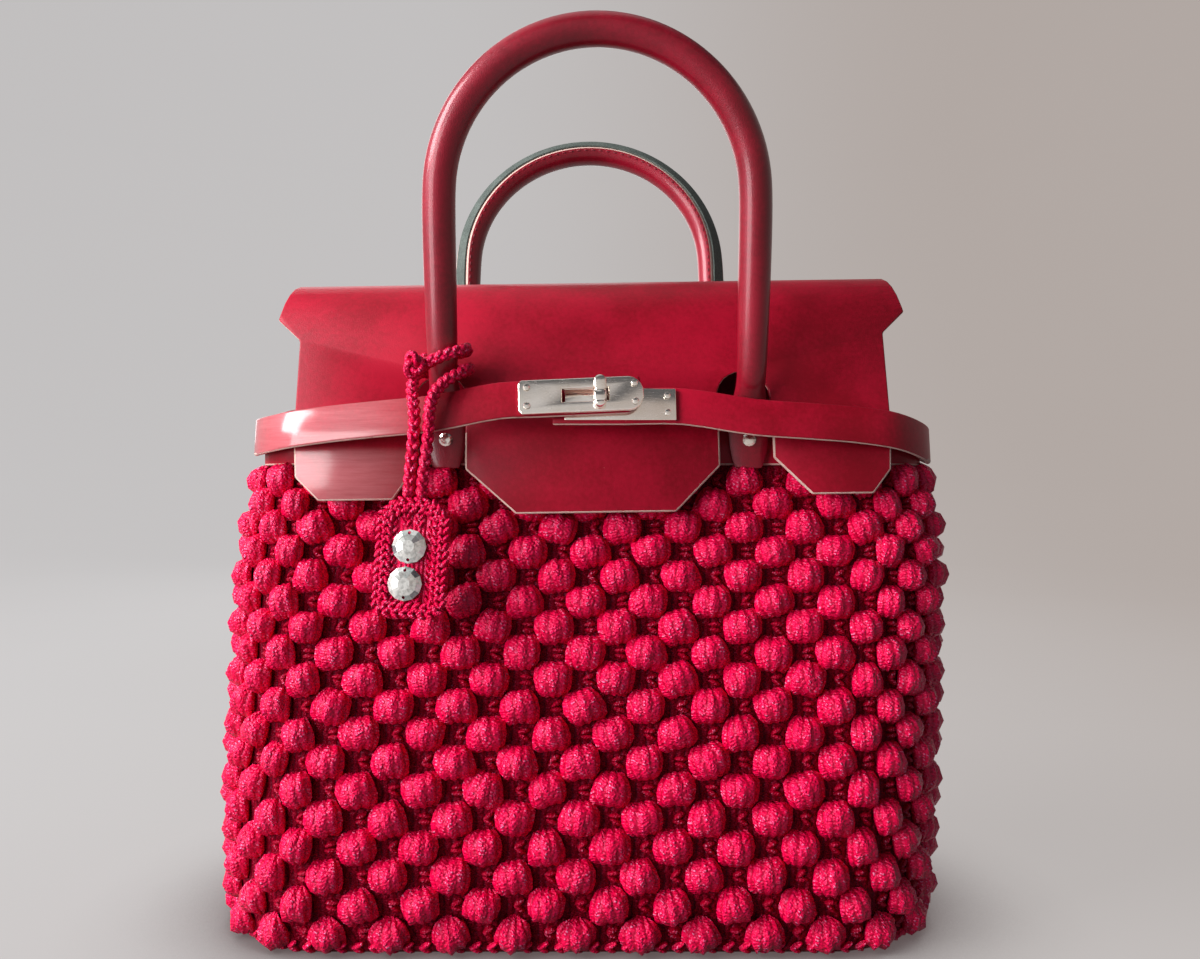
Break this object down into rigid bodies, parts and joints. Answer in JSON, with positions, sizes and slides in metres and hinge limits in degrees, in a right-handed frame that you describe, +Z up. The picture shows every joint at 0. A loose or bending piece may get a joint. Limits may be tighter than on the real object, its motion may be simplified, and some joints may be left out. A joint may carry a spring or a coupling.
{
  "type": "handbag",
  "caption": "Small crocheted satchel with a bobbled body, a folded leather flap, straps that meet at a turn lock, rolled handles and a hanging tag.",
  "frame": {"origin": "centre of the footprint of the bag without its tag, on the flat base", "axes": "+Z up, -Y out of the front with the clasp, +X to the right as seen from the front"},
  "size_m": [0.289, 0.147, 0.3401],
  "materials": {
    "crochet": "shiny twisted cord in raspberry red, crocheted in bobbles",
    "red_leather": "smooth red leather with pale cut edges",
    "grey_backing": "grey backing strip",
    "nickel": "polished nickel",
    "crystal": "clear faceted crystal"
  },
  "bodies": {
    "bag": {"crochet_body": "crochet", "leather_collar": "red_leather", "flap": "red_leather", "front_handle": "red_leather", "front_handle_backing": "grey_backing", "handle_rivet_1": "nickel", "handle_rivet_2": "nickel", "back_handle": "red_leather", "back_handle_backing": "grey_backing", "handle_rivet_3": "nickel", "handle_rivet_4": "nickel", "right_strap": "red_leather", "left_strap": "red_leather", "clasp_rear_plate": "nickel", "clasp_front_plate": "nickel", "front_plate_rivet_1": "nickel", "front_plate_rivet_2": "nickel", "front_plate_rivet_3": "nickel", "front_plate_rivet_4": "nickel", "rear_plate_rivet_1": "nickel", "rear_plate_rivet_2": "nickel", "tag": "crochet", "crystal_upper": "crystal", "crystal_lower": "crystal", "tag_cord_left": "crochet", "tag_cord_right": "crochet"},
    "turn_knob": {"turn_lock_knob": "nickel"}
  },
  "joints": [
    {"name": "turn_lock", "type": "hinge", "parent": "bag", "child": "turn_knob", "pos_m": [0.00664, -0.05769, 0.20551], "axis": [0, -0.9511, 0.309], "range_deg": [0, 90]}
  ]
}
